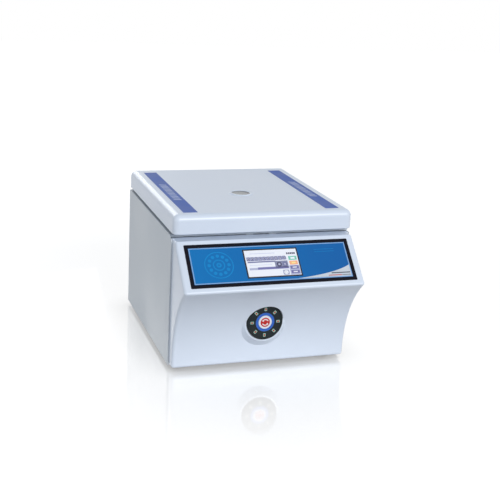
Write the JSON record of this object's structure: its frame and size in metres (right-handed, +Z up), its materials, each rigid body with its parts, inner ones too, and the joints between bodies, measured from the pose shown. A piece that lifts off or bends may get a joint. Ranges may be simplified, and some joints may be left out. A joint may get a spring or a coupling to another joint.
{
  "type": "mini centrifuge",
  "caption": "Bench-top mini centrifuge with a hinged lid over a rotor chamber, a tilted screen console, a jog dial on a concave front and a rear power inlet.",
  "frame": {"origin": "on the table, midway between the console lip and the back face of the lid, on the middle plane", "axes": "+X to the right of someone facing the front, +Y to the back, +Z up"},
  "size_m": [0.322, 0.4269, 0.2762],
  "materials": {
    "moulding": "satin",
    "cabinet_paint": "fine texture",
    "zinc_sheet": "zinc plated",
    "stainless": "brushed",
    "steel": "machined",
    "rotor_alloy": "anodised",
    "black_rubber": "matt",
    "black_plastic": "fine grain",
    "frame_black": "gloss",
    "panel_blue": "satin film",
    "stripe_blue": "satin film",
    "screen": "clear",
    "sight_glass": "clear",
    "dial_black": "satin",
    "dial_blue": "satin",
    "cap_white": "satin",
    "mark_green": "satin",
    "lamp_red": "gloss",
    "board_green": "solder mask",
    "parts_black": "matt",
    "brass": "plated",
    "motor_paint": "satin"
  },
  "bodies": {
    "cabinet": {"base_pan": "zinc_sheet", "feet": "black_rubber", "foot_screws": "steel", "side_panel_left": "cabinet_paint", "side_panel_right": "cabinet_paint", "rear_panel": "cabinet_paint", "rear_screws": "steel", "front_fascia": "moulding", "top_deck": "cabinet_paint", "lid_bumpers": "black_rubber", "chamber_bowl": "stainless", "guard_ring": "zinc_sheet", "guard_posts": "steel", "chamber_boot": "black_rubber", "motor_mounts": "black_rubber", "motor_plate": "zinc_sheet", "motor_housing": "motor_paint", "motor_bearings": "steel", "hinge_brackets": "steel", "hinge_pins": "steel", "latch_bracket": "zinc_sheet", "latch_pin": "steel", "latch_motor": "motor_paint", "console_frame": "frame_black", "console_overlay": "panel_blue", "screen_glass": "screen", "display_module": "zinc_sheet", "display_board": "board_green", "display_posts": "brass", "dial_encoder": "black_plastic", "power_inlet": "black_plastic", "inlet_blades": "brass", "mains_switch": "black_plastic", "power_supply": "zinc_sheet", "control_board": "board_green", "control_posts": "brass", "control_parts": "parts_black"},
    "lid": {"lid_shell": "moulding", "lid_liner": "moulding", "lid_gasket": "black_rubber", "sight_tube": "black_plastic", "sight_glass": "sight_glass", "sight_bezel": "moulding", "lid_stripe_left": "stripe_blue", "lid_stripe_right": "stripe_blue", "lid_striker": "steel", "hinge_leaves": "steel"},
    "rotor": {"rotor": "rotor_alloy", "motor_shaft": "steel", "rotor_nut": "rotor_alloy"},
    "latch_hook": {"latch_hook": "steel"},
    "dial": {"dial_knob": "dial_black", "dial_ring": "dial_blue", "dial_marks": "mark_green", "dial_lamps": "lamp_red", "dial_shaft": "steel"},
    "dial_cap": {"dial_cap": "cap_white", "dial_dot": "lamp_red"},
    "fuse_drawer": {"fuse_drawer": "black_plastic"},
    "rocker": {"switch_rocker": "black_plastic"}
  },
  "joints": [
    {"name": "lid_hinge", "type": "hinge", "parent": "cabinet", "child": "lid", "pos_m": [0, 0.20544, 0.238], "axis": [-1, 0, 0], "range_deg": [0, 75]},
    {"name": "rotor_spin", "type": "hinge", "parent": "cabinet", "child": "rotor", "pos_m": [0, 0.00344, 0.148], "axis": [0, 0, 1], "continuous": true},
    {"name": "latch_turn", "type": "hinge", "parent": "cabinet", "child": "latch_hook", "pos_m": [0, -0.12356, 0.192], "axis": [-1, 0, 0], "range_deg": [0, 14]},
    {"name": "dial_turn", "type": "hinge", "parent": "cabinet", "child": "dial", "pos_m": [0, -0.16356, 0.08782], "axis": [0, -1, 0], "continuous": true},
    {"name": "dial_press", "type": "slide", "parent": "dial", "child": "dial_cap", "axis": [0, 1, 0], "range_m": [0, 0.0012], "stiffness_N_per_m": 800},
    {"name": "fuse_pull", "type": "slide", "parent": "cabinet", "child": "fuse_drawer", "axis": [0, 1, 0], "range_m": [0, 0.018]},
    {"name": "switch_rock", "type": "hinge", "parent": "cabinet", "child": "rocker", "pos_m": [-0.06, 0.20494, 0.052], "axis": [-1, 0, 0], "range_deg": [0, 16]}
  ]
}
